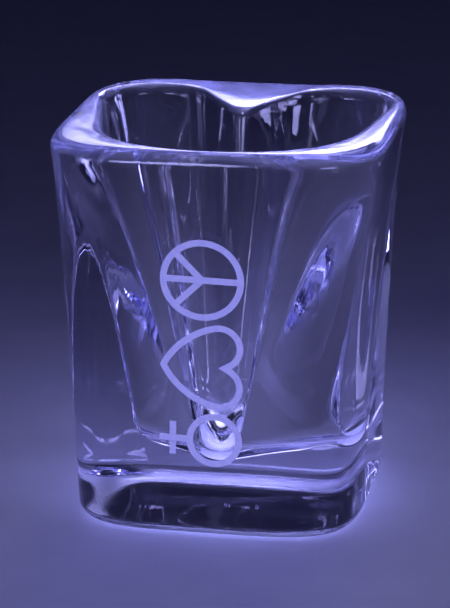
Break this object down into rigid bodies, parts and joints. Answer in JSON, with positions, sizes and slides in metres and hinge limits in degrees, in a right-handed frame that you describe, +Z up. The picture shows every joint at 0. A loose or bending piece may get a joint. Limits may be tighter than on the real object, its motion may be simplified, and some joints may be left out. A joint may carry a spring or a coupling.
{
  "type": "shot glass",
  "caption": "Square clear shot glass with a thick base, a heart-shaped tapering cavity and a column of frosted printed symbols on one side.",
  "frame": {"origin": "middle of the underside of the foot, on the surface the glass stands on", "axes": "+Z up the height of the glass; the printed side faces -Y and the cleft of the heart is towards +Y; +X is to the right of someone who looks at the prints"},
  "size_m": [0.0506, 0.0506, 0.06],
  "materials": {
    "clear_glass": "clear, fire-polished pressed glass with a faint violet tint",
    "frosted_print": "matt frosted lavender ceramic ink"
  },
  "bodies": {
    "root": {"glass_body": "clear_glass", "peace_sign_print": "frosted_print", "heart_print": "frosted_print", "venus_sign_print": "frosted_print"}
  },
  "joints": []
}
